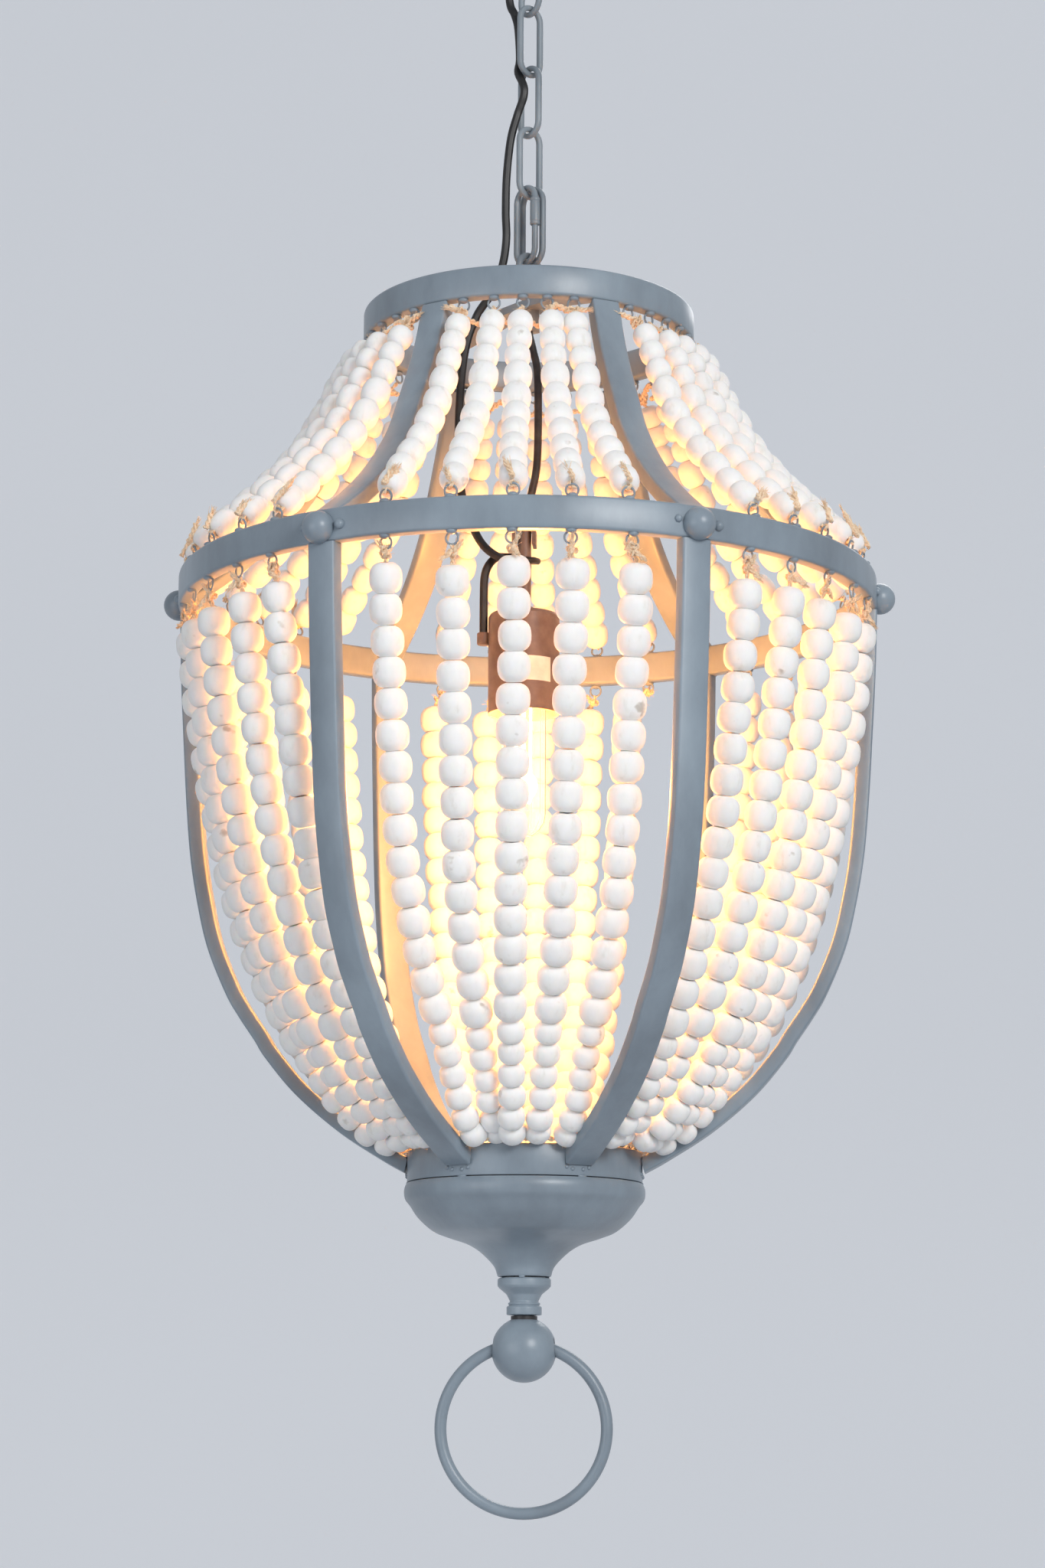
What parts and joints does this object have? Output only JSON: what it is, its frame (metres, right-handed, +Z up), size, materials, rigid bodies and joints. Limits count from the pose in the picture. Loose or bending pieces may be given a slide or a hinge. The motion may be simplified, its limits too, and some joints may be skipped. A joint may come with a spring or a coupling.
{
  "type": "beaded chandelier",
  "caption": "Lantern-shaped pendant chandelier: a painted ribbed cage dressed with strands of wooden beads, on a chain, with a tubular bulb inside and a pull ring below.",
  "frame": {"origin": "the middle of the mounting strap's flat top, where the ceiling rose meets the ceiling", "axes": "+Z up, into the ceiling; -Y out through the middle of the front panel of beads; +X to the right of someone looking at that panel"},
  "size_m": [0.474, 0.45, 1.0808],
  "materials": {
    "cage_paint": "satin blue-grey paint",
    "chain_paint": "satin blue-grey paint, worn",
    "bead_wood": "matt whitewash",
    "holder_brown": "satin brown-grey",
    "black_plastic": "matt",
    "black_cord": "smooth PVC",
    "porcelain": "glazed",
    "plated_steel": "nickel-plated",
    "clear_glass": "clear",
    "glowing_filament": "glowing when lit"
  },
  "bodies": {
    "rose": {"ceiling_rose": "cage_paint", "mounting_strap": "plated_steel", "ceiling_hook": "chain_paint", "cord_grip": "black_plastic", "flex_cord": "black_cord"},
    "link_1": {"chain_link_1": "chain_paint"},
    "link_2": {"chain_link_2": "chain_paint"},
    "link_3": {"chain_link_3": "chain_paint"},
    "link_4": {"chain_link_4": "chain_paint"},
    "screw_link": {"screw_link": "chain_paint", "twin_link": "chain_paint"},
    "sleeve": {"screw_link_sleeve": "chain_paint"},
    "cage": {"hanging_loop": "chain_paint", "crossbar": "cage_paint", "crossbar_nut": "chain_paint", "top_ring": "cage_paint", "mid_ring": "cage_paint", "collar_ring": "cage_paint", "upper_rib_1": "cage_paint", "lower_rib_1": "cage_paint", "knob_1": "cage_paint", "upper_beads_1": "bead_wood", "lower_beads_1": "bead_wood", "upper_rib_2": "cage_paint", "lower_rib_2": "cage_paint", "knob_2": "cage_paint", "upper_beads_2": "bead_wood", "lower_beads_2": "bead_wood", "upper_rib_3": "cage_paint", "lower_rib_3": "cage_paint", "knob_3": "cage_paint", "upper_beads_3": "bead_wood", "lower_beads_3": "bead_wood", "upper_rib_4": "cage_paint", "lower_rib_4": "cage_paint", "knob_4": "cage_paint", "upper_beads_4": "bead_wood", "lower_beads_4": "bead_wood", "upper_rib_5": "cage_paint", "lower_rib_5": "cage_paint", "knob_5": "cage_paint", "upper_beads_5": "bead_wood", "lower_beads_5": "bead_wood", "upper_rib_6": "cage_paint", "lower_rib_6": "cage_paint", "knob_6": "cage_paint", "upper_beads_6": "bead_wood", "lower_beads_6": "bead_wood", "bowl": "cage_paint", "neck_finial": "cage_paint", "tie_rod": "plated_steel", "finial_ball": "cage_paint", "hanger_rod": "holder_brown", "holder_bracket": "holder_brown", "lampholder": "holder_brown", "lampholder_insert": "porcelain"},
    "pull_ring": {"pull_ring": "cage_paint"},
    "bulb": {"bulb_cap": "plated_steel", "bulb_glass": "clear_glass", "bulb_filament": "glowing_filament"}
  },
  "joints": [
    {"name": "hook_to_link_1", "type": "hinge", "parent": "rose", "child": "link_1", "pos_m": [0, 0, -0.0537], "axis": [0.7071, 0.7071, 0], "range_deg": [-25, 25], "deforming": ["flex_cord"]},
    {"name": "link_1_to_link_2", "type": "hinge", "parent": "link_1", "child": "link_2", "pos_m": [0, 0, -0.09605], "axis": [0.7071, -0.7071, 0], "range_deg": [-25, 25], "deforming": ["flex_cord"]},
    {"name": "link_2_to_link_3", "type": "hinge", "parent": "link_2", "child": "link_3", "pos_m": [0, 0, -0.13865], "axis": [0.7071, 0.7071, 0], "range_deg": [-25, 25], "deforming": ["flex_cord"]},
    {"name": "link_3_to_link_4", "type": "hinge", "parent": "link_3", "child": "link_4", "pos_m": [0, 0, -0.18125], "axis": [0.7071, -0.7071, 0], "range_deg": [-25, 25], "deforming": ["flex_cord"]},
    {"name": "link_4_to_screw_link", "type": "hinge", "parent": "link_4", "child": "screw_link", "pos_m": [0, 0, -0.22335], "axis": [0.7071, 0.7071, 0], "range_deg": [-25, 25], "deforming": ["flex_cord"]},
    {"name": "screw_link_to_cage", "type": "hinge", "parent": "screw_link", "child": "cage", "pos_m": [0, 0, -0.27311], "axis": [0.7071, -0.7071, 0], "range_deg": [-20, 20], "deforming": ["flex_cord"]},
    {"name": "sleeve_travel", "type": "slide", "parent": "screw_link", "child": "sleeve", "axis": [0, 0, 1], "range_m": [-0.0095, 0]},
    {"name": "pull_ring_swing", "type": "hinge", "parent": "cage", "child": "pull_ring", "pos_m": [0, 0, -0.9756], "axis": [1, 0, 0], "range_deg": [-80, 80]},
    {"name": "bulb_unscrew", "type": "hinge", "parent": "cage", "child": "bulb", "pos_m": [-0.0022, 0, -0.55], "axis": [0, 0, 1], "continuous": true}
  ]
}
